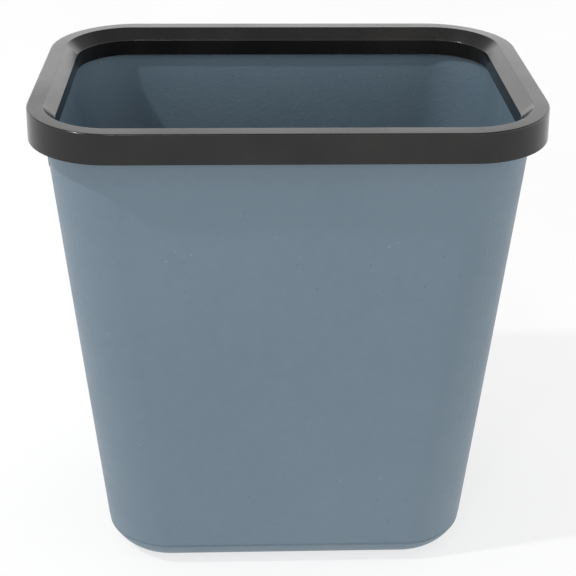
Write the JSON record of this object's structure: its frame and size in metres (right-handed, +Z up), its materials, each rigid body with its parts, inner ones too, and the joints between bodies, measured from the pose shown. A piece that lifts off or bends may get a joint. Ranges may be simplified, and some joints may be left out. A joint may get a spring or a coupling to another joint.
{
  "type": "wastebasket",
  "caption": "Tapered rounded-rectangle under-desk wastebasket with a lift-off ring that covers the rim and traps the bag.",
  "frame": {"origin": "on the floor, under the middle of the tub", "axes": "+Z up, long side along X, front towards -Y"},
  "size_m": [0.2816, 0.1962, 0.296],
  "materials": {
    "tub_plastic": "slate-blue polypropylene, fine moulded grain",
    "ring_plastic": "black polypropylene, satin"
  },
  "bodies": {
    "tub": {"tub": "tub_plastic"},
    "bag_ring": {"bag_ring": "ring_plastic"}
  },
  "joints": [
    {"name": "ring_lift", "type": "slide", "parent": "tub", "child": "bag_ring", "axis": [0, 0, 1], "range_m": [0, 0.08]}
  ]
}
